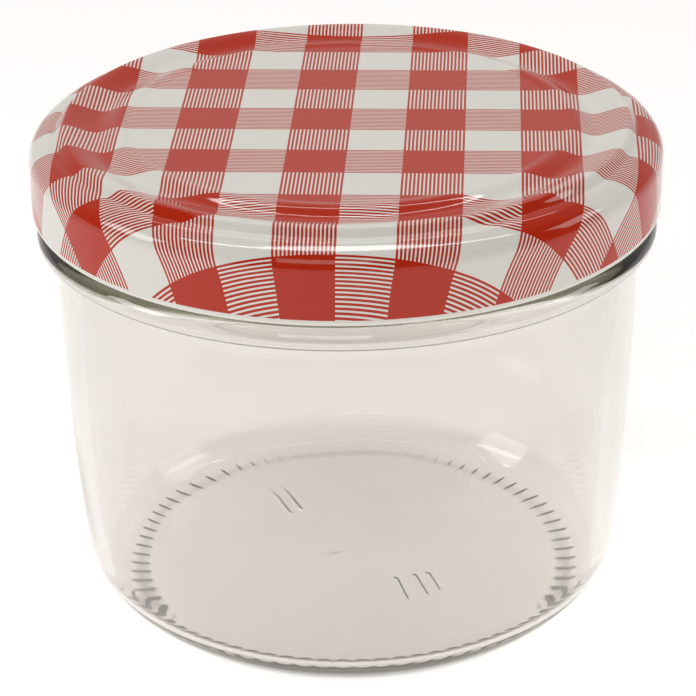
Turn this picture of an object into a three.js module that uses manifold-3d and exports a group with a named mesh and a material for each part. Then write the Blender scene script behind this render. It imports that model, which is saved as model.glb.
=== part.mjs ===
// A squat straight-sided glass storage jar with a twist-off metal lid.
// Millimetres, +Z up. The origin is the middle of the ring that the jar stands on.

import * as THREE from 'three';
import { mergeVertices } from 'three/addons/utils/BufferGeometryUtils.js';
import Module from 'manifold-3d';

const wasm = await Module();
wasm.setup();

// Overall sizes
const TOTAL_HEIGHT = 68.0;        // standing ring to the crest of the lid's raised rim
const LID_R = 42.4;               // outside of the lid's skirt
const GAP = 0.3;                  // clearance between the lid and the glass

// Glass wall: three outer radii that a parabola runs through
const WALL_LOW = { z: 9.0, r: 37.4 };
const WALL_MID = { z: 30.0, r: 38.9 };
const WALL_HIGH = { z: 50.0, r: 39.3 };
const WALL = 2.7;                 // thickness of the glass wall

// Glass base
const HEEL_HEIGHT = WALL_LOW.z;   // the heel curves up to here
const HEEL_DEPTH = 8.0;           // how far the heel draws in, from the wall to the standing ring
const HEEL_FULLNESS = 2.24;       // exponent of the heel's superellipse, 2 being an ellipse
const RING_WIDTH = 1.8;           // flat standing ring
const PUSH_UP = 1.1;              // rise of the underside's hollow at the axis
const PUSH_UP_R = 20.0;           // edge of the hollow's middle, from which it runs down to the ring
const PUSH_UP_EDGE = 0.2;         // its rise there
const FLOOR_EDGE_Z = 3.2;         // inner floor beside the wall
const FLOOR_CROWN = 0.4;          // extra height of the inner floor at the axis
const INNER_CORNER = 3.5;         // radius between the floor and the wall

// Glass finish: bead, neck, threads and sealing rim
const BEAD_Z = 53.6;
const BEAD_R = 41.9;
const BEAD_FOOT = { r: 40.2, z: 52.6 };   // corner under the bead
const NECK_R = 39.5;
const NECK_FOOT_Z = 56.0;
const MOUTH_R = 36.6;
const RIM_ROUND = 1.5;            // radius of the sealing rim's edges
const THREAD_SECTION = 0.8;       // radius of the thread's round section
const THREAD_R = 40.6;            // outermost reach of the threads
const THREAD_DIP = 1.7;           // how deep a thread's ends sink into the neck
const THREAD_SPAN = THREE.MathUtils.degToRad(50);
const THREAD_CLIMB = 2.2;
const THREAD_LEVEL = 0.4;         // share of the thread that runs level before it climbs
const STARTS = 6;                 // threads on the neck, and lugs under the lid

// Lid, with heights measured from its flat panel
const RIM_CREST = 0.44;           // crest of the raised rim above the panel
const PANEL_R = 28.7;
const PANEL_RINGS = [             // radius and height of the rings pressed round the panel
  [30.2, 0.18],
  [31.7, -0.22],
  [33.3, -0.61],
  [34.8, -0.43],
  [36.3, 0.09],
  [37.7, RIM_CREST],
  [38.5, -0.02],
  [39.2, -0.72],
];
const SHOULDER = 3.2;             // radius between the lid's top and its skirt
const SKIRT_HEIGHT = 11.5;        // rim crest to the lid's lower edge
const SHEET = 0.4;                // thickness of the lid's sheet
const CURL = 0.75;                // radius of the edge that is rolled inwards
const SEAL_INNER_R = 34.6;        // ring of sealing compound bonded under the raised rim
const SEAL_OUTER_R = 39.6;
const SEAL_FACE = -1.26;          // its lower face, from the panel
const LUG_TIP_R = 40.0;
const LUG_ROOT_R = 42.1;
const LUG_THICK = 1.0;
const LUG_TIP_HALF = THREE.MathUtils.degToRad(7);
const LUG_ROOT_HALF = THREE.MathUtils.degToRad(10);

// Fineness of the round forms
const SEGMENTS = 64;
const HEEL_STEPS = 6;
const WALL_STEPS = 3;
const ARC_STEPS = 4;
const ROUND_STEPS = 3;
const FILLET_STEPS = 2;
const RINGS_STEPS = 12;
const CURL_STEPS = 8;
const THREAD_STEPS = 10;
const THREAD_SIDES = 8;
const LUG_STEPS = 2;
const MERGE_TOLERANCE = 1e-4;

// Heights that follow from the sizes above
const PANEL_Z = TOTAL_HEIGHT - RIM_CREST;
const CURL_Z = RIM_CREST - SKIRT_HEIGHT + CURL;
const LID_EDGE_Z = TOTAL_HEIGHT - SKIRT_HEIGHT;
const LUG_Z = LID_EDGE_Z + (CURL - LUG_THICK / 2);
const THREAD_Z = LUG_Z + LUG_THICK + GAP + THREAD_SECTION;
const GLASS_TOP_Z = PANEL_Z + SEAL_FACE - GAP;

const GLASS = new THREE.MeshStandardMaterial({
  color: 0xe5e0d6,
  roughness: 0.03,
  metalness: 0,
  transparent: true,
  opacity: 0.35,
});
const TINPLATE = new THREE.MeshStandardMaterial({ color: 0xc4655a, roughness: 0.28, metalness: 0.2 });

// Points of a quarter ellipse from (r0, z0) to (r1, z1). It leaves the first point along r
// when level is true, and along z when it is false.
function quarter(r0, z0, r1, z1, level, steps = ARC_STEPS) {
  const points = [];
  for (let i = 1; i <= steps; i++) {
    const angle = (i / steps) * (Math.PI / 2);
    const late = 1 - Math.cos(angle);
    const early = Math.sin(angle);
    const shareR = level ? early : late;
    const shareZ = level ? late : early;
    points.push(new THREE.Vector2(r0 + (r1 - r0) * shareR, z0 + (z1 - z0) * shareZ));
  }
  return points;
}

// Outer radius of the glass wall at a height: the parabola through the three measured radii
function wallRadius(z) {
  const slopeLow = (WALL_MID.r - WALL_LOW.r) / (WALL_MID.z - WALL_LOW.z);
  const slopeHigh = (WALL_HIGH.r - WALL_MID.r) / (WALL_HIGH.z - WALL_MID.z);
  const bend = (slopeHigh - slopeLow) / (WALL_HIGH.z - WALL_LOW.z);
  return WALL_LOW.r + slopeLow * (z - WALL_LOW.z) + bend * (z - WALL_LOW.z) * (z - WALL_MID.z);
}

// Heel from the standing ring up to the wall: the wall's curve drawn in by a superellipse
function heelOutline() {
  const points = [];
  for (let i = 0; i <= HEEL_STEPS; i++) {
    const angle = (i / HEEL_STEPS) * (Math.PI / 2);
    const z = HEEL_HEIGHT * (1 - Math.cos(angle) ** (2 / HEEL_FULLNESS));
    const drawnIn = HEEL_DEPTH * (1 - Math.sin(angle) ** (2 / HEEL_FULLNESS));
    points.push(new THREE.Vector2(wallRadius(z) - drawnIn, z));
  }
  return points;
}

// Outside of the glass from the underside's middle, up the wall, to the top of the neck
function outerOutline() {
  const ringR = wallRadius(0) - HEEL_DEPTH;
  const points = [new THREE.Vector2(0, PUSH_UP)];
  points.push(...quarter(0, PUSH_UP, PUSH_UP_R, PUSH_UP_EDGE, true, FILLET_STEPS));
  points.push(new THREE.Vector2(ringR - RING_WIDTH, 0));
  points.push(...heelOutline());
  for (let i = 1; i <= WALL_STEPS; i++) {
    const z = THREE.MathUtils.lerp(WALL_LOW.z, WALL_HIGH.z, i / WALL_STEPS);
    points.push(new THREE.Vector2(wallRadius(z), z));
  }
  points.push(...quarter(WALL_HIGH.r, WALL_HIGH.z, BEAD_FOOT.r, BEAD_FOOT.z, false, FILLET_STEPS));
  points.push(...quarter(BEAD_FOOT.r, BEAD_FOOT.z, BEAD_R, BEAD_Z, true, ROUND_STEPS));
  points.push(...quarter(BEAD_R, BEAD_Z, NECK_R, NECK_FOOT_Z, false));
  points.push(new THREE.Vector2(NECK_R, GLASS_TOP_Z - RIM_ROUND));
  return points;
}

// Rounded sealing rim, and the inside of the glass down to the middle of the floor
function innerOutline() {
  const cornerZ = FLOOR_EDGE_Z + INNER_CORNER;
  const cornerR = wallRadius(cornerZ) - WALL;
  const rimMiddle = (NECK_R + MOUTH_R) / 2;
  const points = quarter(NECK_R, GLASS_TOP_Z - RIM_ROUND, rimMiddle, GLASS_TOP_Z, false, ROUND_STEPS);
  points.push(...quarter(rimMiddle, GLASS_TOP_Z, MOUTH_R, GLASS_TOP_Z - RIM_ROUND, true, ROUND_STEPS));
  for (let i = 0; i <= WALL_STEPS; i++) {
    const z = THREE.MathUtils.lerp(WALL_HIGH.z, cornerZ, i / WALL_STEPS);
    points.push(new THREE.Vector2(wallRadius(z) - WALL, z));
  }
  points.push(...quarter(cornerR, cornerZ, cornerR - INNER_CORNER, FLOOR_EDGE_Z, false));
  points.push(new THREE.Vector2(0, FLOOR_EDGE_Z + FLOOR_CROWN));
  return points;
}

// Top of the lid from the panel's middle, over the pressed rings and the shoulder, down the skirt
function lidOutline() {
  const rings = [[PANEL_R, 0], ...PANEL_RINGS].map(([r, z]) => new THREE.Vector2(r, z));
  const shoulderTop = rings[rings.length - 1];
  const points = [new THREE.Vector2(0, 0), ...new THREE.SplineCurve(rings).getPoints(RINGS_STEPS)];
  points.push(...quarter(shoulderTop.x, shoulderTop.y, LID_R, shoulderTop.y - SHOULDER, true));
  points.push(new THREE.Vector2(LID_R, CURL_Z + Math.sqrt(CURL ** 2 - (CURL - SHEET) ** 2)));
  return points;
}

// The same line moved inwards by the sheet's thickness, each point along its own normal
function underside(outline) {
  return outline.map((point, i) => {
    const before = outline[Math.max(i - 1, 0)];
    const after = outline[Math.min(i + 1, outline.length - 1)];
    const along = new THREE.Vector2().subVectors(after, before).normalize();
    const r = i === 0 ? 0 : point.x + along.y * SHEET;
    return new THREE.Vector2(r, point.y - along.x * SHEET);
  });
}

// Rolled edge at the foot of the skirt: a circle from the sheet's outer face round to its inner one
function curlOutline() {
  const innerFace = Math.acos((CURL - SHEET) / CURL) - 2 * Math.PI;
  const turn = new THREE.Path().absarc(LID_R - CURL, CURL_Z, CURL, 0, innerFace, true);
  return turn.getPoints(CURL_STEPS).slice(0, -1);
}

// Underside from the skirt to the axis, with the sealing compound filling the raised rim
function lidInside(outline) {
  const inside = underside(outline).reverse();
  const points = inside.filter((point) => point.x > SEAL_OUTER_R);
  points.push(new THREE.Vector2(SEAL_OUTER_R, SEAL_FACE));
  points.push(new THREE.Vector2(SEAL_INNER_R, SEAL_FACE));
  points.push(...inside.filter((point) => point.x < SEAL_INNER_R));
  return points;
}

// Turned form about +Z from a profile of radius and height that runs from axis to axis
function turned(profile) {
  return new THREE.LatheGeometry(profile, SEGMENTS).rotateX(Math.PI / 2);
}

// Line that one thread follows: level, then climbing, with both ends sunk in the neck
class ThreadPath extends THREE.Curve {
  constructor(start) {
    super();
    this.start = start;
  }

  getPoint(t, target = new THREE.Vector3()) {
    const angle = this.start + t * THREAD_SPAN;
    const sunk = THREAD_DIP * (1 - Math.sin(Math.PI * t) ** 0.5);
    const r = THREAD_R - THREAD_SECTION - sunk;
    const climbed = THREE.MathUtils.smoothstep(t, THREAD_LEVEL, 1) * THREAD_CLIMB;
    return target.set(r * Math.cos(angle), r * Math.sin(angle), THREAD_Z + climbed);
  }
}

function thread(start) {
  const section = new THREE.Shape(new THREE.Path().absarc(0, 0, THREAD_SECTION, 0, 2 * Math.PI)
    .getPoints(THREAD_SIDES).slice(0, -1));
  return new THREE.ExtrudeGeometry(section, {
    extrudePath: new ThreadPath(start),
    steps: THREAD_STEPS,
    curveSegments: 1,
  });
}

// Lug that reaches in from the curl and hooks under a thread
function lug(middle) {
  const plate = new THREE.Shape();
  plate.absarc(0, 0, LUG_ROOT_R, middle - LUG_ROOT_HALF, middle + LUG_ROOT_HALF);
  plate.absarc(0, 0, LUG_TIP_R, middle + LUG_TIP_HALF, middle - LUG_TIP_HALF, true);
  plate.closePath();
  const form = new THREE.ExtrudeGeometry(plate, {
    depth: LUG_THICK,
    bevelEnabled: false,
    curveSegments: LUG_STEPS,
  });
  return form.translate(0, 0, LUG_Z - PANEL_Z);
}

// Closed solid of a geometry, with shared corners merged and collapsed triangles dropped
function solidOf(geometry) {
  const bare = new THREE.BufferGeometry();
  bare.setAttribute('position', geometry.getAttribute('position'));
  bare.setIndex(geometry.getIndex());
  const merged = mergeVertices(bare, MERGE_TOLERANCE);
  const index = merged.getIndex().array;
  const triangles = [];
  for (let i = 0; i < index.length; i += 3) {
    const [a, b, c] = [index[i], index[i + 1], index[i + 2]];
    if (a !== b && b !== c && c !== a) triangles.push(a, b, c);
  }
  return new wasm.Manifold(new wasm.Mesh({
    numProp: 3,
    vertProperties: Float32Array.from(merged.getAttribute('position').array),
    triVerts: Uint32Array.from(triangles),
  }));
}

// One solid of a turned form and what stands on it, as a geometry for a mesh
function joined(base, extras) {
  const solid = extras.reduce((sum, extra) => sum.add(solidOf(extra)), solidOf(base));
  const { vertProperties, triVerts } = solid.getMesh();
  const geometry = new THREE.BufferGeometry();
  geometry.setAttribute('position', new THREE.BufferAttribute(vertProperties, 3));
  geometry.setIndex(new THREE.BufferAttribute(triVerts, 1));
  geometry.computeVertexNormals();
  return geometry;
}

function glassJar() {
  const threads = [];
  for (let i = 0; i < STARTS; i++) {
    threads.push(thread((i * 2 * Math.PI) / STARTS - THREAD_SPAN * THREAD_LEVEL / 2));
  }
  const mesh = new THREE.Mesh(joined(turned([...outerOutline(), ...innerOutline()]), threads), GLASS);
  mesh.name = 'glass_jar';
  return mesh;
}

function twistLid() {
  const outline = lidOutline();
  // A turned form's profile runs upwards on its outside, so this one is taken from the inside out
  const profile = [...outline, ...curlOutline(), ...lidInside(outline)].reverse();
  const lugs = [];
  for (let i = 0; i < STARTS; i++) lugs.push(lug((i * 2 * Math.PI) / STARTS));
  const mesh = new THREE.Mesh(joined(turned(profile), lugs), TINPLATE);
  mesh.name = 'twist_lid';
  mesh.position.z = PANEL_Z;
  return mesh;
}

const storageJar = new THREE.Group();
storageJar.add(glassJar(), twistLid());

export default storageJar;
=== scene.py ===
"""Fine surfaces, finishes, camera and studio for a squat glass storage jar with a printed twist-off lid."""

import math

import bpy
import numpy as np
from bpy.props import FloatProperty, FloatVectorProperty, IntProperty, PointerProperty
from mathutils import Matrix, Vector


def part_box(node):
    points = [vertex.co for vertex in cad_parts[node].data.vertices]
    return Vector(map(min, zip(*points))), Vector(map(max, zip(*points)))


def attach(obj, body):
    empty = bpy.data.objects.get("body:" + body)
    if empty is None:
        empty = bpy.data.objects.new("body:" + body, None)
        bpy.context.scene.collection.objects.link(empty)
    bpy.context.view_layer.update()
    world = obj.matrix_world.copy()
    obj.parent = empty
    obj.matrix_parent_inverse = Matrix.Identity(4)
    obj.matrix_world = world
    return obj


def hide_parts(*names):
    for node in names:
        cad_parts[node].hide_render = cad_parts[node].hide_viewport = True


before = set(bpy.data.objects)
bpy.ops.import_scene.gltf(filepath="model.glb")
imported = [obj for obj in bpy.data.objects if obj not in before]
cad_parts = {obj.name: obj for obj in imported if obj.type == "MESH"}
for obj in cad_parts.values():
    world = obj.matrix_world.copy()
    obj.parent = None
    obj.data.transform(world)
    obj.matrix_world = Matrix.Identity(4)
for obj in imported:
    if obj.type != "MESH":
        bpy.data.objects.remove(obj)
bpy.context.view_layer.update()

bl_info = {
    "name": "Glass storage jar",
    "version": (1, 0, 0),
    "blender": (4, 5, 0),
    "location": "3D View > Sidebar > Jar",
    "description": "Makes a squat glass storage jar with a gingham twist-off lid",
    "category": "Object",
}

MM = 0.001
GLASS_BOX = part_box("glass_jar")
LID_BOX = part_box("twist_lid")
LID_TOP = LID_BOX[1].z
LID_RADIUS = LID_BOX[1].x
GLASS_TOP = GLASS_BOX[1].z
BEAD_RADIUS = GLASS_BOX[1].x
TURN = 2 * math.pi


def length(name, description, millimetres):
    """A length property, given in millimetres and held in metres."""
    return FloatProperty(
        name=name, description=description, default=millimetres * MM, unit="LENGTH", precision=5
    )


def colour(name, description, red, green, blue):
    """A linear colour property."""
    return FloatVectorProperty(
        name=name, description=description, default=(red, green, blue), subtype="COLOR", min=0, max=1
    )


def share(name, description, default):
    """A plain number between nought and one."""
    return FloatProperty(name=name, description=description, default=default, min=0, max=1)


class JarGlassSettings(bpy.types.PropertyGroup):
    """Sizes and tint of the glass, and a painted shade on its base."""

    wall: length("Wall", "Thickness of the glass wall", 2.7)
    heel_height: length("Heel height", "Height up to which the heel curves", 9.0)
    heel_depth: length("Heel depth", "How far the heel draws in to the standing ring", 8.0)
    heel_fullness: FloatProperty(
        name="Heel fullness", description="Exponent of the heel's curve, 2 being an ellipse", default=2.24
    )
    floor_edge: length("Floor", "Height of the inner floor beside the wall", 3.2)
    floor_crown: length("Floor crown", "Extra height of the inner floor at the axis", 0.4)
    inner_corner: length("Inner corner", "Radius between the floor and the wall", 3.5)
    push_up: length("Push-up", "Rise of the hollow under the base", 1.1)
    knurls: IntProperty(name="Knurls", description="Short bars moulded round the heel", default=76, min=0)
    knurl_depth: length("Knurl depth", "Depth of the grooves between the knurls", 0.28)
    unevenness: length("Unevenness", "How far the inner wall strays from round", 0.12)
    mark_depth: length("Mark depth", "Depth of the moulded bars under the base", 0.18)
    surface_tint: colour("Surface tint", "Colour of light that crosses a face twice", 0.92, 0.906, 0.888)
    # painted shade: this darker tint on the base stands in for the shadow on the floor beneath the jar
    base_shade_tint: colour("Base tint", "The same for the faces of the thick base", 0.845, 0.810, 0.805)
    inner_tint: colour("Inner tint", "Colour of the glass along a long way through it", 0.60, 0.60, 0.52)
    density: FloatProperty(name="Density", description="Strength of the inner tint", default=46.0, min=0)
    index: FloatProperty(name="Index", description="Refractive index of the glass", default=1.52, min=1)


class JarLidSettings(bpy.types.PropertyGroup):
    """Sizes of the lid."""

    sheet: length("Sheet", "Thickness of the tinplate", 0.4)
    shoulder: length("Shoulder", "Radius between the lid's top and its skirt", 3.2)
    skirt_height: length("Skirt", "Rim crest to the lid's lower edge", 11.5)
    curl: length("Curl", "Radius of the rolled lower edge", 0.75)
    lugs: IntProperty(name="Lugs", description="Lugs that hook under the threads", default=6, min=0)


class JarPrintSettings(bpy.types.PropertyGroup):
    """The gingham print, laid out on the flat sheet before the lid is pressed."""

    square: length("Square", "Side of one square of the gingham", 7.631)
    lines: IntProperty(name="Lines", description="Fine lines across one square", default=15, min=1)
    angle: FloatProperty(
        name="Angle", description="Turn of the print on the lid", default=0.053, subtype="ANGLE"
    )
    line_share: share("Line share", "Share of a hatched square that its red lines cover", 0.575)
    edge: length("Print edge", "Radius on the flat sheet at which the print ends", 49.22)
    shift_x: share("Shift across", "Place of the print across, in pairs of squares", 0.46)
    shift_y: share("Shift along", "Place of the print along, in pairs of squares", 0.241)
    ink: colour("Ink", "Red of the print", 0.485, 0.022, 0.003)
    ground: colour("Ground", "White coat under the print", 0.735, 0.715, 0.66)
    gloss: share("Roughness", "Roughness of the clear lacquer", 0.05)


class JarStudioSettings(bpy.types.PropertyGroup):
    """Floor, light and camera."""

    floor: colour("Floor", "Colour of the floor", 0.80, 0.785, 0.775)
    floor_glow: share("Floor glow", "Light of the light table that the floor is", 0.51)
    light: FloatProperty(name="Light", description="Strength of the lamps together", default=1.0, min=0)
    surround: FloatProperty(name="Surround", description="Strength of the room's light", default=1.0, min=0)
    camera_distance: length("Camera distance", "From the lid's middle to the camera", 388.3)
    camera_height: length("Camera height", "From the floor to the camera", 205.7)
    camera_side: length("Camera side", "How far the camera stands to the right", -0.08)
    camera_pitch: FloatProperty(
        name="Camera pitch", description="How far the camera looks down", default=0.4425, subtype="ANGLE"
    )
    camera_roll: FloatProperty(
        name="Camera roll", description="Turn of the camera about its view", default=0.0131, subtype="ANGLE"
    )
    lens: FloatProperty(name="Lens", description="Focal length on a 36 mm sensor", default=149.83, min=1)


def quarter(start, end, level, count):
    """Quarter of an ellipse between two points of radius and height, without its first point.

    The curve leaves the first point level, or upright, and meets the second the other way: one
    coordinate goes by the sine of the angle and the other by one less its cosine.
    """
    angle = np.linspace(0, math.pi / 2, count + 1)[1:, None]
    early, late = np.sin(angle), 1 - np.cos(angle)
    shares = np.hstack([early, late] if level else [late, early])
    return np.array(start) + (np.array(end) - np.array(start)) * shares


def straight(start, end, count):
    """Points of a straight line between two points, without its first point."""
    step = np.linspace(0, 1, count + 1)[1:, None]
    return np.array(start) + (np.array(end) - np.array(start)) * step


def smooth(x, low, high):
    """Smooth step from nought at low to one at high: 3 t squared less 2 t cubed."""
    t = np.clip((x - low) / (high - low), 0, 1)
    return t * t * (3 - 2 * t)


def window(x, low, high, soft):
    """One between low and high, and nought outside them, with soft ends."""
    return smooth(x, low - soft, low + soft) * (1 - smooth(x, high - soft, high + soft))


def turned_mesh(name, radius, height, angle):
    """A closed surface from grids of radius and height over the rows of a profile and the angle.

    Point (i, j) lies at radius r[i, j] times (cos a[j], sin a[j]) and height z[i, j]. The first
    and last rows lie on the axis and are one point each.
    """
    rows, columns = radius.shape
    x, y = radius * np.cos(angle), radius * np.sin(angle)
    inner = np.stack([x, y, height], -1)[1:-1].reshape(-1, 3)
    ends = np.array([[0, 0, height[0].mean()], [0, 0, height[-1].mean()]])
    points = np.vstack([ends[:1], inner, ends[1:]])
    across = np.arange(columns)
    beside = (across + 1) % columns
    start = 1 + np.arange(rows - 3)[:, None] * columns
    quads = np.stack([start + across, start + beside, start + columns + beside, start + columns + across], -1)
    quads = quads.reshape(-1, 4)
    last = 1 + (rows - 3) * columns
    foot = np.stack([np.zeros_like(across), 1 + beside, 1 + across], -1)
    cap = np.stack([np.full_like(across, len(points) - 1), last + across, last + beside], -1)
    corners = np.concatenate([foot.ravel(), quads.ravel(), cap.ravel()])
    sizes = np.concatenate([np.full(columns, 3), np.full(len(quads), 4), np.full(columns, 3)])
    mesh = bpy.data.meshes.new(name)
    mesh.vertices.add(len(points))
    mesh.vertices.foreach_set("co", points.astype(np.float32).ravel())
    mesh.loops.add(len(corners))
    mesh.loops.foreach_set("vertex_index", corners.astype(np.int32))
    mesh.polygons.add(len(sizes))
    mesh.polygons.foreach_set("loop_start", (np.cumsum(sizes) - sizes).astype(np.int32))
    mesh.polygons.foreach_set("use_smooth", np.ones(len(sizes), bool))
    mesh.update(calc_edges=True)
    mesh.validate()
    return mesh


def add_piece(name, mesh, materials, node):
    """Puts a finished mesh in the scene as a piece that stands for a node of the frame."""
    for material in materials:
        mesh.materials.append(material)
    piece = bpy.data.objects.new(name, mesh)
    bpy.context.scene.collection.objects.link(piece)
    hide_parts(node)
    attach(piece, "root")
    return piece


# Glass

WALL_PROFILE = np.array([[9.0, 37.4], [30.0, 38.9], [50.0, 39.3]]) * MM   # height and outer radius
BEAD_MIDDLE = 53.6 * MM
BEAD_FOOT = (40.2 * MM, 52.6 * MM)     # radius and height of the corner under the bead
NECK_RADIUS = 39.5 * MM
NECK_FOOT = 56.0 * MM
MOUTH_RADIUS = 36.6 * MM
RIM_ROUND = 1.5 * MM
RING_WIDTH = 1.8 * MM
# Radii of the rows under the base, close together where the moulded bars lie
UNDER_ROWS = np.concatenate([[0, 2, 4, 6], np.arange(8, 19, 0.27), [20, 21.5, 23, 24, 25, 26]]) * MM
KNURL_SPAN = (29.5 * MM, 32.0 * MM)
KNURL_SOFT = 0.5 * MM
KNURL_EDGE = (-0.2, 0.6)               # cosines between which a groove turns into a knurl
MARK_BARS = np.array([[-11.2, 17.2, -8.8, 11.2], [-9.2, 17.8, -7.1, 12.5], [5.9, -8.2, 7.3, -13.7],
                      [8.4, -7.5, 10.0, -12.6], [10.3, -7.0, 11.7, -11.4]]) * MM   # ends, x and y
MARK_HALF = 0.45 * MM
DIMPLE = (-1.6 * MM, -1.2 * MM)
DIMPLE_RADIUS = 1.1 * MM
DIMPLE_SHARE = 0.6                     # depth of the dimple against that of the bars
THREADS = 6
THREAD_RADIUS = 40.6 * MM
THREAD_HALF = 0.9 * MM
THREAD_LOW = 59.0 * MM
THREAD_CLIMB = 2.2 * MM
THREAD_SPAN = math.radians(50)
THREAD_LEVEL = 0.4                     # share of a thread that runs level before it climbs
A_HAIR = 0.01 * MM
WAVES = (    # number of waves round the inner wall, their share, start and drift with the height
    (2, 1.0, 0.8, 1.0),
    (5, 0.6, 2.1, -1.7),
    (11, 0.35, 0.4, 2.3),
)
WAVE_RISE = 30 * MM                    # height for each radian of a drift of one
WAVE_START = (5.2 * MM, 12 * MM)
WAVE_END = (46 * MM, 52 * MM)
GLASS_COLUMNS = 608
SHADED_BASE_FADE = (5.0 * MM, 7.0 * MM)       # heights between which the base's painted shade gives way to the wall's tint
MOULD_STRETCH = (1.0, 1.0, 0.35)       # the mould's ripples are long up the wall
HAZE = (0.0, 0.03)                     # least and most roughness
SHADOW_TINT = (0.96, 0.955, 0.95, 1)   # colour of the light that passes in a shadow


def wall_radius(height):
    """Outer radius of the wall: the parabola through the three points of WALL_PROFILE."""
    low, middle, high = WALL_PROFILE
    rise_low = (middle[1] - low[1]) / (middle[0] - low[0])
    rise_high = (high[1] - middle[1]) / (high[0] - middle[0])
    bend = (rise_high - rise_low) / (high[0] - low[0])
    return low[1] + rise_low * (height - low[0]) + bend * (height - low[0]) * (height - middle[0])


def heel(settings, count):
    """Heel from the standing ring to the wall: the wall drawn in by a superellipse of the angle."""
    angle = np.linspace(0, math.pi / 2, count)
    power = 2 / settings.heel_fullness
    height = settings.heel_height * (1 - np.cos(angle) ** power)
    radius = wall_radius(height) - settings.heel_depth * (1 - np.sin(angle) ** power)
    return np.stack([radius, height], -1)


def glass_profile(settings):
    """Radius and height round the glass's section, from under the base to the middle of the floor.

    The hollow under the base is half a cosine wave from the axis to the standing ring. Each curve
    ends with its number of rows.
    """
    ring = wall_radius(0) - settings.heel_depth
    low, _, high = WALL_PROFILE
    corner_height = settings.floor_edge + settings.inner_corner
    corner_radius = wall_radius(corner_height) - settings.wall
    wall_top = (high[1], high[0])
    bead = (BEAD_RADIUS, BEAD_MIDDLE)
    neck_foot = (NECK_RADIUS, NECK_FOOT)
    neck_top = (NECK_RADIUS, GLASS_TOP - RIM_ROUND)
    rim = ((NECK_RADIUS + MOUTH_RADIUS) / 2, GLASS_TOP)
    mouth = (MOUTH_RADIUS, GLASS_TOP - RIM_ROUND)
    corner = (corner_radius, corner_height)
    floor_edge = (corner_radius - settings.inner_corner, settings.floor_edge)
    floor_middle = (0, settings.floor_edge + settings.floor_crown)
    up = np.linspace(low[0], high[0], 10)[1:]
    down = np.linspace(high[0], corner_height, 13)
    hollow = settings.push_up * (1 + np.cos(math.pi * UNDER_ROWS / (ring - RING_WIDTH))) / 2
    return np.vstack([
        np.stack([UNDER_ROWS, hollow], -1),
        [[ring - RING_WIDTH, 0]],
        heel(settings, 26),
        np.stack([wall_radius(up), up], -1),
        quarter(wall_top, BEAD_FOOT, False, 8),
        quarter(BEAD_FOOT, bead, True, 8),
        quarter(bead, neck_foot, False, 10),
        straight(neck_foot, neck_top, 14),
        quarter(neck_top, rim, False, 5),
        quarter(rim, mouth, True, 5),
        np.stack([wall_radius(down) - settings.wall, down], -1),
        quarter(corner, floor_edge, False, 9),
        straight(floor_edge, floor_middle, 6),
    ])


def knurled(radius, height, angle, settings):
    """Heights with grooves cut between the knurls.

    Round the heel they go by a cosine with cut-off crests, and along the radius they fade in and out.
    """
    wave = smooth(np.cos(settings.knurls * angle), *KNURL_EDGE)
    reach = window(radius, *KNURL_SPAN, KNURL_SOFT) * (height < settings.floor_edge)
    return height + settings.knurl_depth * (1 - wave) * reach


def marked(radius, height, angle, settings):
    """Heights with the moulded bars and the centre dimple pressed into the underside.

    A bar is a groove whose depth falls smoothly with the distance from the line between its ends.
    """
    x, y = radius * np.cos(angle), radius * np.sin(angle)
    from_dimple = np.hypot(x - DIMPLE[0], y - DIMPLE[1])
    pressed = DIMPLE_SHARE * (1 - smooth(from_dimple, 0, DIMPLE_RADIUS))
    for x0, y0, x1, y1 in MARK_BARS:
        run_x, run_y = x1 - x0, y1 - y0
        along = np.clip(((x - x0) * run_x + (y - y0) * run_y) / (run_x**2 + run_y**2), 0, 1)
        off = np.hypot(x - x0 - along * run_x, y - y0 - along * run_y)
        pressed = np.maximum(pressed, 1 - smooth(off, 0, MARK_HALF))
    return height + settings.mark_depth * pressed


def threaded(radius, height, angle):
    """Radii with the threads: on each, a round ridge whose height level climbs with the angle."""
    pitch = TURN / THREADS
    along = np.mod(angle + THREAD_SPAN * THREAD_LEVEL / 2, pitch) / THREAD_SPAN
    middle = THREAD_LOW + THREAD_CLIMB * smooth(along, THREAD_LEVEL, 1)
    off = (height - middle) / THREAD_HALF
    bulge = np.sqrt(np.clip(1 - off**2, 0, 1))
    taper = np.sqrt(np.clip(np.sin(math.pi * np.clip(along, 0, 1)), 0, 1))
    outside = (radius > NECK_RADIUS - A_HAIR) & (height > NECK_FOOT)
    return radius + (THREAD_RADIUS - NECK_RADIUS) * (bulge * taper) * outside


def uneven(radius, height, angle, inside, amount):
    """Radii of the inner wall with slow waves round it that drift with the height."""
    turns = height / WAVE_RISE
    wave = sum(part * np.sin(count * angle + start + drift * turns) for count, part, start, drift in WAVES)
    fade = smooth(height, *WAVE_START) * (1 - smooth(height, *WAVE_END))
    return radius + amount * wave * fade * inside


def glass_mesh(settings):
    """The glass as one closed surface: its section turned, with knurls, threads and uneven wall."""
    profile = glass_profile(settings)
    angle = np.arange(GLASS_COLUMNS) / GLASS_COLUMNS * TURN
    radius, height = (np.repeat(column[:, None], GLASS_COLUMNS, 1) for column in profile.T)
    inner_rows = np.arange(len(profile)) > np.argmax(profile[:, 1])
    radius = threaded(radius, height, angle)
    radius = uneven(radius, height, angle, inner_rows[:, None], settings.unevenness)
    height = knurled(radius, height, angle, settings)
    under = radius[:, 0] < KNURL_SPAN[0]
    under[np.argmax(height[:, 0]):] = False
    height[under] = marked(radius[under], height[under], angle, settings)
    return turned_mesh("glass", radius, height, angle)


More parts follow.
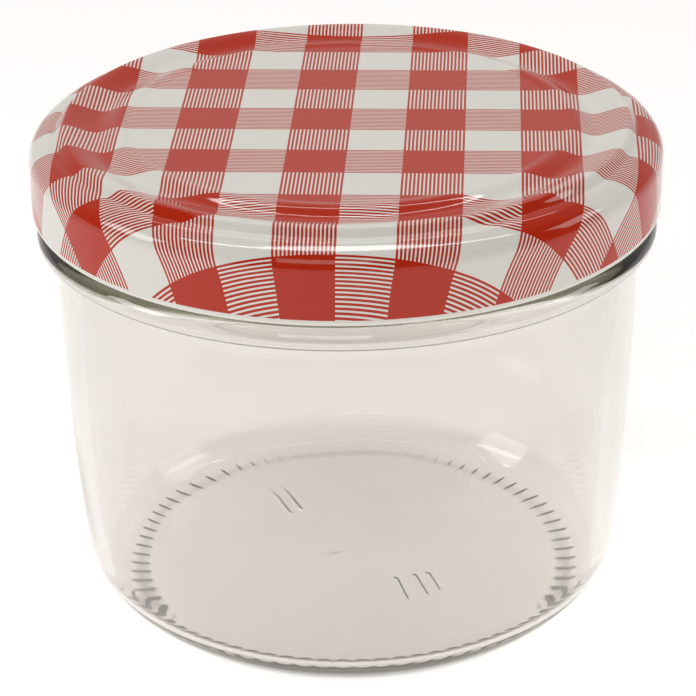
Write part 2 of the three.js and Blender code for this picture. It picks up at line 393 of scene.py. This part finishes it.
class NodeTable:
    """Adds and links the nodes of one material or world, so that a finish reads as a few lines."""

    def __init__(self, tree):
        self.tree = tree
        tree.nodes.clear()

    def add(self, kind, inputs=None, **settings):
        """A node of a kind, with its settings and its inputs set to values or linked to sockets."""
        node = self.tree.nodes.new(kind)
        for name, value in settings.items():
            setattr(node, name, value)
        for name, value in (inputs or {}).items():
            if isinstance(value, bpy.types.NodeSocket):
                self.tree.links.new(value, node.inputs[name])
            else:
                node.inputs[name].default_value = value
        return node

    def math(self, operation, first, second=0.0):
        """The result of one sum."""
        return self.add("ShaderNodeMath", {0: first, 1: second}, operation=operation).outputs[0]

    def mix(self, factor, first, second):
        """A colour between two colours."""
        node = self.add("ShaderNodeMix", {"Factor": factor}, data_type="RGBA")
        for socket, value in ((node.inputs[6], first), (node.inputs[7], second)):
            if isinstance(value, bpy.types.NodeSocket):
                self.tree.links.new(value, socket)
            else:
                socket.default_value = (*value, 1)
        return node.outputs[2]

    def remap(self, value, low, high, new_low, new_high):
        """A value carried from one range to another."""
        sides = {"Value": value, "From Min": low, "From Max": high, "To Min": new_low, "To Max": new_high}
        return self.add("ShaderNodeMapRange", sides).outputs[0]

    def noise(self, vector, scale, detail=2.0, roughness=0.5):
        """Smooth noise, in waves to the metre."""
        sides = {"Vector": vector, "Scale": scale, "Detail": detail, "Roughness": roughness}
        return self.add("ShaderNodeTexNoise", sides).outputs["Fac"]

    def finish(self, shader, volume=None):
        """The material's output."""
        sides = {"Surface": shader} if volume is None else {"Surface": shader, "Volume": volume}
        self.add("ShaderNodeOutputMaterial", sides)


def new_material(name):
    """An empty material with nodes, and its table."""
    material = bpy.data.materials.new(name)
    material.use_nodes = True
    return material, NodeTable(material.node_tree)


def clear_glass(settings):
    """Moulded soda-lime glass: faint ripples of the mould, a little roughness, and light let through; the
    base is darkened by a painted shade.
    """
    material, table = new_material("clear_glass")
    place = table.add("ShaderNodeTexCoord").outputs["Object"]
    height = table.add("ShaderNodeSeparateXYZ", {0: place}).outputs["Z"]
    # painted shade: below these heights the glass takes the darker base tint
    above_shaded_base = table.remap(height, *SHADED_BASE_FADE, 0.0, 1.0)
    tint_and_shade = table.mix(above_shaded_base, tuple(settings.base_shade_tint), tuple(settings.surface_tint))
    stretched = table.add("ShaderNodeMapping", {"Vector": place, "Scale": MOULD_STRETCH}).outputs[0]
    ripple = table.noise(stretched, 90.0, 2.0)
    bump = table.add("ShaderNodeBump", {"Height": ripple, "Strength": 0.10, "Distance": 0.12 * MM})
    haze = table.remap(table.noise(place, 260.0, 3.0), 0.35, 0.75, *HAZE)
    glass = table.add(
        "ShaderNodeBsdfPrincipled",
        {
            "Base Color": tint_and_shade,
            "Roughness": haze,
            "IOR": settings.index,
            "Transmission Weight": 1.0,
            "Normal": bump.outputs[0],
        },
    )
    passing = table.add("ShaderNodeBsdfTransparent", {"Color": SHADOW_TINT})
    shadow = table.add("ShaderNodeLightPath").outputs["Is Shadow Ray"]
    mixed = table.add("ShaderNodeMixShader", {0: shadow, 1: glass.outputs[0], 2: passing.outputs[0]})
    inner = {"Color": (*settings.inner_tint, 1), "Density": settings.density}
    table.finish(mixed.outputs[0], table.add("ShaderNodeVolumeAbsorption", inner).outputs[0])
    return material


# Lid

RING_PROFILE = np.array([       # radius, and height above the panel, of the rings pressed round it
    [28.7, 0.0],
    [30.2, 0.18],
    [33.3, -0.61],
    [37.7, 0.44],
    [39.2, -0.72],
]) * MM
CONE_SLOPE = math.radians(31)   # short cone between the two arcs of the shoulder
CONE_LENGTH = 0.7 * MM
SEAL_RADII = (34.6 * MM, 39.6 * MM)
SEAL_FACE = -1.26 * MM
LUG_TIP = 40.0 * MM
LUG_HALF = math.radians(8)
LUG_SOFT = math.radians(2)
TOP_FLOW = 0.107                # stretch of the sheet on slopes of the top
LID_COLUMNS = 400
PANEL_STEP = 4                  # every fourth row of the outer face is used inside the panel
SKIRT_STEP = 3                  # and every third inside the skirt
ENAMEL_ROWS = 4                 # rows of the curl that the enamel still covers
SHEET_SPAN = 120 * MM           # side of the flat sheet that the print's map covers


def pressed_rings(count):
    """Profile of the pressed rings: between two crests the height goes by a smooth step of the radius."""
    radius = np.linspace(RING_PROFILE[0, 0], RING_PROFILE[-1, 0], count)
    height = np.zeros(count)
    for low, high in zip(RING_PROFILE[:-1], RING_PROFILE[1:]):
        height += (high[1] - low[1]) * smooth(radius, low[0], high[0])
    return np.stack([radius, height], -1)


def shoulder(start, drop):
    """Shoulder from a level start down to the upright skirt: an arc, a short cone and an arc.

    The radii of the two arcs follow from the shoulder's width and drop, the cone's length and its
    slope: each arc adds its radius times the change of the sine across and of the cosine down.
    """
    sine, cosine = math.sin(CONE_SLOPE), math.cos(CONE_SLOPE)
    reach = np.array([LID_RADIUS - start[0] - CONE_LENGTH * cosine, drop - CONE_LENGTH * sine])
    first, second = np.linalg.solve([[sine, 1 - sine], [1 - cosine, cosine]], reach)
    upper = np.linspace(0, CONE_SLOPE, 12)[1:, None]
    lower = np.linspace(CONE_SLOPE, math.pi / 2, 18)[1:, None]
    cone_top = np.array(start) + first * np.array([sine, cosine - 1])
    cone_foot = cone_top + CONE_LENGTH * np.array([cosine, -sine])
    return np.vstack([
        np.array(start) + first * np.hstack([np.sin(upper), np.cos(upper) - 1]),
        cone_foot,
        cone_foot + second * np.hstack([np.sin(lower) - sine, np.cos(lower) - cosine]),
    ])


def outer_sheet(settings):
    """Outer face of the lid from the panel's middle to the foot of the skirt, above the panel."""
    rings = pressed_rings(88)
    edge = RING_PROFILE[-1]
    crest = RING_PROFILE[:, 1].max()
    middle = crest - settings.skirt_height + settings.curl
    return np.vstack([
        straight((0, 0), RING_PROFILE[0], 6)[:-1],
        rings,
        shoulder(edge, settings.shoulder),
        straight((LID_RADIUS, edge[1] - settings.shoulder), (LID_RADIUS, middle), 14),
    ])


def inner_sheet(outer, settings):
    """The outer face moved inwards by the sheet's thickness along its normals, with the seal's face."""
    along = np.gradient(outer, axis=0)
    along /= np.linalg.norm(along, axis=1, keepdims=True)
    face = outer + settings.sheet * np.stack([along[:, 1], -along[:, 0]], -1)
    panel = face[face[:, 0] < SEAL_RADII[0]][::PANEL_STEP]
    skirt = face[face[:, 0] > SEAL_RADII[1]][::SKIRT_STEP]
    seal = straight((SEAL_RADII[0], SEAL_FACE), (SEAL_RADII[1], SEAL_FACE), 6)
    return panel, np.vstack([[(SEAL_RADII[0], SEAL_FACE)], seal]), skirt


def rolled_edge(settings):
    """The curl at the foot of the skirt: a circle from the inside of the sheet round to the outside."""
    crest = RING_PROFILE[:, 1].max()
    middle = np.array([LID_RADIUS - settings.curl, crest - settings.skirt_height + settings.curl])
    inner_face = math.acos((settings.curl - settings.sheet) / settings.curl) - TURN
    angle = np.linspace(inner_face, 0, 24)[:, None]
    return middle + settings.curl * np.hstack([np.cos(angle), np.sin(angle)])


def flat_radius(outer):
    """Radius on the flat sheet of each point of the outer face.

    Over the top it is the radius, plus a small share of what the slope adds to the way along the
    face. Where the sheet is drawn down, its cube grows by three times the radius squared for each
    step along the face, so that the print crowds together round the skirt.
    """
    steps = np.linalg.norm(np.diff(outer, axis=0, prepend=outer[:1]), axis=1)
    level = np.diff(outer[:, 0], prepend=outer[0, 0])
    top = outer[:, 0] + TOP_FLOW * np.cumsum(np.maximum(steps - np.abs(level), 0))
    drawn = np.argmax(outer[:, 0] >= RING_PROFILE[-1, 0] - 1e-9)
    grown = np.cumsum(outer[drawn:, 0] ** 2 * steps[drawn:]) - outer[drawn, 0] ** 2 * steps[drawn]
    return np.concatenate([top[:drawn], np.cbrt(top[drawn] ** 3 + 3 * grown)])


def with_lugs(radius, angle, rows, settings):
    """Radii of the curl's rows with the lugs: where a lug stands, the curl's inner half reaches in."""
    pitch = TURN / settings.lugs
    off = np.abs(np.mod(angle + pitch / 2, pitch) - pitch / 2)
    lug = 1 - smooth(off, LUG_HALF - LUG_SOFT, LUG_HALF + LUG_SOFT)
    innermost = LID_RADIUS - 2 * settings.curl
    inward = np.clip((LID_RADIUS - settings.curl - radius) / settings.curl, 0, 1)
    return radius - (innermost - LUG_TIP) * inward * lug * rows[:, None]


def lid_mesh(settings):
    """The lid as one closed surface: underside, seal, inside of the skirt, curl and outer face."""
    outer = outer_sheet(settings)
    panel, seal, skirt = inner_sheet(outer, settings)
    curl = rolled_edge(settings)
    skirt = skirt[skirt[:, 1] > curl[0, 1]]
    inner = np.vstack([panel, seal, skirt])
    inner[0, 0] = 0
    up = outer[::-1][1:]
    profile = np.vstack([inner, curl, up])
    angle = np.arange(LID_COLUMNS) / LID_COLUMNS * TURN
    radius, height = (np.repeat(column[:, None], LID_COLUMNS, 1) for column in profile.T)
    index = np.arange(len(profile))
    curled = (index >= len(inner)) & (index < len(inner) + len(curl))
    radius = with_lugs(radius, angle, curled, settings)
    panel_height = LID_TOP - RING_PROFILE[:, 1].max()
    mesh = turned_mesh("lid", radius, height + panel_height, angle)

    # The print's map: each corner's place on the flat sheet, as a share of the sheet's span
    flat = flat_radius(outer)
    on_sheet = np.concatenate([inner[:, 0], np.full(len(curl), flat[-1]), flat[::-1][1:]])
    spread = np.repeat(on_sheet[:, None], LID_COLUMNS, 1)
    places = np.stack([spread * np.cos(angle), spread * np.sin(angle)], -1)[1:-1].reshape(-1, 2)
    places = np.vstack([[[0, 0]], places, [[0, 0]]]) / SHEET_SPAN + 0.5
    corners = np.empty(len(mesh.loops), np.int32)
    mesh.loops.foreach_get("vertex_index", corners)
    layer = mesh.uv_layers.new(name="flat_sheet")
    layer.data.foreach_set("uv", places[corners].astype(np.float32).ravel())

    # Slots: 0 print, 1 enamel inside, 2 sealing compound
    row_slot = np.zeros(len(profile) - 1, np.int32)
    row_slot[: len(inner) + ENAMEL_ROWS] = 1
    row_slot[len(panel): len(panel) + len(seal)] = 2
    mesh.polygons.foreach_set("material_index", np.repeat(row_slot, LID_COLUMNS))
    return mesh


def gingham(table, settings):
    """How red the print is: 1 on a full square, fine lines on half ones, and 0 on the ground.

    Two sets of bands cross. Where both lie the ink is full, and where one lies alone it is broken
    into lines along that band. A band reaches half a line past its square at both sides, so that
    the lines at its edges are whole. The print ends at its edge on the flat sheet.
    """
    scale = SHEET_SPAN / (2 * settings.square)
    turn = Matrix.Rotation(settings.angle, 2)
    shift = Vector((settings.shift_x, settings.shift_y)) - turn @ Vector((0.5, 0.5)) * scale
    uv = table.add("ShaderNodeUVMap", uv_map="flat_sheet").outputs[0]
    sides = {
        "Vector": uv,
        "Location": (*shift, 0),
        "Rotation": (0, 0, settings.angle),
        "Scale": (scale, scale, 1),
    }
    placed = table.add("ShaderNodeMapping", sides).outputs[0]
    split = table.add("ShaderNodeSeparateXYZ", {0: placed})
    half_line = settings.line_share / (4 * settings.lines)
    bands, lines = [], []
    for way in (split.outputs["X"], split.outputs["Y"]):
        place = table.math("FRACT", table.math("ADD", way, half_line))
        bands.append(table.math("LESS_THAN", place, 0.5 + 2 * half_line))
        fine = table.math("FRACT", table.math("MULTIPLY", way, 2.0 * settings.lines))
        off = table.math("ABSOLUTE", table.math("SUBTRACT", fine, 0.5))
        lines.append(table.math("GREATER_THAN", off, (1 - settings.line_share) / 2))
    across = table.math("MULTIPLY", bands[0], table.math("MAXIMUM", bands[1], lines[0]))
    along = table.math("MULTIPLY", bands[1], lines[1])
    ends = {0: uv, 1: (0.5, 0.5, 0)}
    from_middle = table.add("ShaderNodeVectorMath", ends, operation="DISTANCE").outputs["Value"]
    within = table.math("LESS_THAN", from_middle, settings.edge / SHEET_SPAN)
    return table.math("MULTIPLY", table.math("MAXIMUM", across, along), within)


def printed_tinplate(settings):
    """Glossy lacquer over red ink on a white coat, with uneven ink, orange peel and faint rubbing."""
    material, table = new_material("printed_tinplate")
    red = gingham(table, settings)
    place = table.add("ShaderNodeTexCoord").outputs["Object"]
    ink = tuple(settings.ink)
    thick = table.mix(table.noise(place, 900.0, 3.0), ink, tuple(c * 0.86 for c in ink))
    ground = tuple(settings.ground)
    coat = table.mix(table.noise(place, 120.0, 2.0), ground, tuple(c * 0.97 for c in ground))
    shown = table.mix(red, coat, thick)
    least, most = settings.gloss * 0.8, settings.gloss * 1.5
    rubbed = table.remap(table.noise(place, 70.0, 4.0, 0.6), 0.3, 0.8, least, most)
    peel = table.noise(place, 700.0, 2.0)
    bump = table.add("ShaderNodeBump", {"Height": peel, "Strength": 0.02, "Distance": 0.05 * MM})
    shader = table.add(
        "ShaderNodeBsdfPrincipled",
        {"Base Color": shown, "Roughness": rubbed, "IOR": 1.4, "Normal": bump.outputs[0]},
    )
    table.finish(shader.outputs[0])
    return material


def enamel():
    """White protective enamel inside the lid, with a faint mottle."""
    material, table = new_material("lid_enamel")
    place = table.add("ShaderNodeTexCoord").outputs["Object"]
    shown = table.mix(table.noise(place, 180.0, 3.0), (0.74, 0.73, 0.70), (0.66, 0.65, 0.61))
    dull = table.remap(table.noise(place, 90.0, 3.0), 0.3, 0.7, 0.25, 0.4)
    peel = table.noise(place, 900.0, 2.0)
    bump = table.add("ShaderNodeBump", {"Height": peel, "Strength": 0.1, "Distance": 0.05 * MM})
    sides = {"Base Color": shown, "Roughness": dull, "Normal": bump.outputs[0]}
    table.finish(table.add("ShaderNodeBsdfPrincipled", sides).outputs[0])
    return material


def sealing_compound():
    """Soft off-white sealing compound, poured in a ring."""
    material, table = new_material("sealing_compound")
    place = table.add("ShaderNodeTexCoord").outputs["Object"]
    shown = table.mix(table.noise(place, 300.0, 3.0), (0.60, 0.58, 0.53), (0.50, 0.48, 0.44))
    flow = table.noise(place, 400.0, 2.0)
    bump = table.add("ShaderNodeBump", {"Height": flow, "Strength": 0.3, "Distance": 0.1 * MM})
    dull = table.remap(flow, 0.3, 0.7, 0.45, 0.6)
    sides = {"Base Color": shown, "Roughness": dull, "Normal": bump.outputs[0]}
    table.finish(table.add("ShaderNodeBsdfPrincipled", sides).outputs[0])
    return material


# Studio

FLOOR_SIZE = 6.0
FLOOR_LEVEL = -0.05 * MM                # so that the glass and the floor share no face
SHADOW_RING_RADIUS = 30.4 * MM                 # painted contact shadow: a dark ring on the floor, under the heel
SHADOW_RING_SPREAD = 1.6 * MM                   # way to each side over which the ring fades
# colour of the painted contact shadow
SHADOW_RING_COLOUR = (0.16, 0.16, 0.14)
SHADOW_RING_FADE = (-25 * MM, 5 * MM)          # way back over which the painted shadow ring gives out
SHADOW_RING_SHARES = (0.05, 0.75)              # shares of the glow that it lets through in front and behind
GLOW_COLOUR = (1, 0.97, 0.95, 1)
BACK_SHADE_FADE = (0.0, 45 * MM)              # way back over which the glow falls: a painted shade on the floor behind the jar
BACK_SHADE_SHARE = 0.70
FRONT_LIGHT_RADII = (31.0 * MM, 33.5 * MM)      # radii over which it rises in front of the jar: a painted pool of light beside the foot
FRONT_LIGHT_GAIN = 0.3
FRONT_LIGHT_SPAN = (-25 * MM, -5 * MM)        # way back over which that rise gives out
ROOM_SPAN = (0.1, 0.7)                  # how far back a way points where the room turns pale
ROOM_DIM = (0.13, 0.13, 0.13)
ROOM_PALE = (0.60, 0.58, 0.55)
LAMPS = (    # name, place, width, depth, brightness of its face
    ("lamp_over", (0.00, 0.01, 0.72), 0.90, 0.05, 13.5),
    ("lamp_behind", (0.00, 0.43, 0.74), 0.80, 0.025, 12.0),
    ("lamp_front", (-0.15, -0.95, 0.75), 0.60, 0.40, 2.8),
    ("lamp_left", (-0.90, -0.10, 0.50), 0.40, 0.30, 6.0),
    ("lamp_right", (0.90, 0.05, 0.55), 0.35, 0.30, 4.0),
)
AIM = Vector((0, 0, 0.05))
SENSOR = 36.0
BOUNCES = 96                            # light runs on inside the wall, up to the bright line under the lid
GLOSSY_BOUNCES = 32


def pale_floor(settings):
    """Matt pale glowing floor, a little mottled, with a painted contact shadow: a dark ring round the jar's
    foot.

    The painted shadow darkens its colour and its glow. The glow also falls off behind the jar, a painted
    shade, and rises a little in front of it, a painted pool of light.
    """
    material, table = new_material("pale_floor")
    place = table.add("ShaderNodeTexCoord").outputs["Object"]
    base = tuple(settings.floor)
    plain = table.mix(table.noise(place, 3.0, 2.0), base, tuple(c * 0.985 for c in base))
    away = table.add("ShaderNodeVectorMath", {0: place}, operation="LENGTH").outputs["Value"]
    off = table.math("ABSOLUTE", table.math("SUBTRACT", away, SHADOW_RING_RADIUS))
    way_back = table.add("ShaderNodeSeparateXYZ", {0: place}).outputs["Y"]
    # painted contact shadow: the ring darkens the floor's glow, less so behind the jar
    least = table.remap(way_back, *SHADOW_RING_FADE, *SHADOW_RING_SHARES)
    shadow_ring = table.remap(off, 0.0, SHADOW_RING_SPREAD, least, 1.0)
    # painted shade: the glow falls off behind the jar
    back = table.remap(way_back, *BACK_SHADE_FADE, 1.0, BACK_SHADE_SHARE)
    # painted light: the glow rises in a band just in front of the jar
    front_light = table.remap(way_back, *FRONT_LIGHT_SPAN, FRONT_LIGHT_GAIN, 0.0)
    front_pool = table.math("MULTIPLY", front_light, table.remap(away, *FRONT_LIGHT_RADII, 0.0, 1.0))
    # the painted shade behind and the painted light in front, together
    painted_course = table.math("MULTIPLY", back, table.math("ADD", front_pool, 1.0))
    strength = table.math("MULTIPLY", table.math("MULTIPLY", shadow_ring, painted_course), settings.floor_glow)
    # the floor's colour, darkened towards the painted shadow's colour in the ring
    shown = table.mix(shadow_ring, SHADOW_RING_COLOUR, plain)
    glow = {"Emission Color": GLOW_COLOUR, "Emission Strength": strength}
    sides = {"Base Color": shown, "Roughness": 0.9, "Specular IOR Level": 0.1, **glow}
    table.finish(table.add("ShaderNodeBsdfPrincipled", sides).outputs[0])
    return material


def light_surround(settings):
    """Room light: pale behind the jar, and dim overhead and on the camera's side."""
    world = bpy.data.worlds.new("soft_room")
    world.use_nodes = True
    bpy.context.scene.world = world
    table = NodeTable(world.node_tree)
    way = table.add("ShaderNodeTexCoord").outputs["Generated"]
    split = table.add("ShaderNodeSeparateXYZ", {0: way})
    behind = table.remap(split.outputs["Y"], *ROOM_SPAN, 0.0, 1.0)
    shown = table.mix(behind, ROOM_DIM, ROOM_PALE)
    back = table.add("ShaderNodeBackground", {"Color": shown, "Strength": settings.surround})
    table.add("ShaderNodeOutputWorld", {"Surface": back.outputs[0]})


def add_lamp(name, place, width, depth, strength):
    """One soft rectangular lamp that faces the jar: a lit face gives its brightness times pi and its area."""
    data = bpy.data.lights.new(name, "AREA")
    data.shape = "RECTANGLE"
    data.size, data.size_y = width, depth
    data.energy = strength * math.pi * width * depth
    lamp = bpy.data.objects.new(name, data)
    lamp.location = place
    lamp.rotation_euler = (AIM - Vector(place)).to_track_quat("-Z", "Y").to_euler()
    bpy.context.scene.collection.objects.link(lamp)


def add_camera(settings):
    """The camera: in front of the jar and above it, pitched down and rolled a little.

    It stands back so far that its distance from the lid's middle is the given one.
    """
    data = bpy.data.cameras.new("camera")
    data.lens = settings.lens
    data.sensor_width = SENSOR
    data.clip_start = 0.01
    above_panel = settings.camera_height - (LID_TOP - RING_PROFILE[:, 1].max())
    back = math.sqrt(settings.camera_distance**2 - above_panel**2)
    pitch, roll = settings.camera_pitch, settings.camera_roll
    forward = Vector((0, math.cos(pitch), -math.sin(pitch)))
    down = Vector((0, -math.sin(pitch), -math.cos(pitch)))
    side = Vector((1, 0, 0))
    right = math.cos(roll) * side + math.sin(roll) * down
    up = math.sin(roll) * side - math.cos(roll) * down
    turn = Matrix((right, up, -forward)).transposed().to_4x4()
    camera = bpy.data.objects.new("camera", data)
    camera.matrix_world = Matrix.Translation((settings.camera_side, -back, settings.camera_height)) @ turn
    bpy.context.scene.collection.objects.link(camera)
    bpy.context.scene.camera = camera


class JAR_OT_glass(bpy.types.Operator):
    """Make the glass: heel, knurls, wall, bead, threads and rim in one closed surface"""

    bl_idname = "jar.glass"
    bl_label = "Make the glass"

    def execute(self, context):
        settings = context.scene.jar_glass
        add_piece("glass_body", glass_mesh(settings), [clear_glass(settings)], "glass_jar")
        return {"FINISHED"}


class JAR_OT_lid(bpy.types.Operator):
    """Make the twist-off lid with its print, enamel and sealing compound"""

    bl_idname = "jar.lid"
    bl_label = "Make the lid"

    def execute(self, context):
        scene = context.scene
        finishes = [printed_tinplate(scene.jar_print), enamel(), sealing_compound()]
        add_piece("gingham_lid", lid_mesh(scene.jar_lid), finishes, "twist_lid")
        return {"FINISHED"}


class JAR_OT_studio(bpy.types.Operator):
    """Set the floor, the lamps, the room light and the camera"""

    bl_idname = "jar.studio"
    bl_label = "Set the studio"

    def execute(self, context):
        settings = context.scene.jar_studio
        half = FLOOR_SIZE / 2
        mesh = bpy.data.meshes.new("floor")
        spots = ((-half, -half), (half, -half), (half, half), (-half, half))
        corners = [(x, y, FLOOR_LEVEL) for x, y in spots]
        mesh.from_pydata(corners, [], [(0, 1, 2, 3)])
        mesh.materials.append(pale_floor(settings))
        floor = bpy.data.objects.new("floor", mesh)
        context.scene.collection.objects.link(floor)
        light_surround(settings)
        for name, place, width, depth, strength in LAMPS:
            add_lamp(name, place, width, depth, strength * settings.light)
        add_camera(settings)
        context.scene.view_settings.view_transform = "Standard"
        context.scene.cycles.max_bounces = BOUNCES
        context.scene.cycles.transmission_bounces = BOUNCES
        context.scene.cycles.glossy_bounces = GLOSSY_BOUNCES
        return {"FINISHED"}


class JAR_PT_panel(bpy.types.Panel):
    """Sizes, print and studio of the jar"""

    bl_label = "Glass storage jar"
    bl_idname = "JAR_PT_panel"
    bl_space_type = "VIEW_3D"
    bl_region_type = "UI"
    bl_category = "Jar"

    def draw(self, context):
        scene = context.scene
        for operator, groups in (
            ("jar.glass", [scene.jar_glass]),
            ("jar.lid", [scene.jar_lid, scene.jar_print]),
            ("jar.studio", [scene.jar_studio]),
        ):
            box = self.layout.box()
            for group in groups:
                for name in group.__annotations__:
                    box.prop(group, name)
            box.operator(operator)


SETTINGS = {
    "jar_glass": JarGlassSettings,
    "jar_lid": JarLidSettings,
    "jar_print": JarPrintSettings,
    "jar_studio": JarStudioSettings,
}
CLASSES = (*SETTINGS.values(), JAR_OT_glass, JAR_OT_lid, JAR_OT_studio, JAR_PT_panel)


def register():
    """Registers the classes and gives each scene its settings."""
    for item in CLASSES:
        bpy.utils.register_class(item)
    for name, group in SETTINGS.items():
        setattr(bpy.types.Scene, name, PointerProperty(type=group))


def unregister():
    """Takes the settings and the classes away again."""
    for name in SETTINGS:
        delattr(bpy.types.Scene, name)
    for item in reversed(CLASSES):
        bpy.utils.unregister_class(item)


def main():
    """Makes the whole jar and its studio."""
    register()
    bpy.ops.jar.glass()
    bpy.ops.jar.lid()
    bpy.ops.jar.studio()


if __name__ == "__main__":
    main()
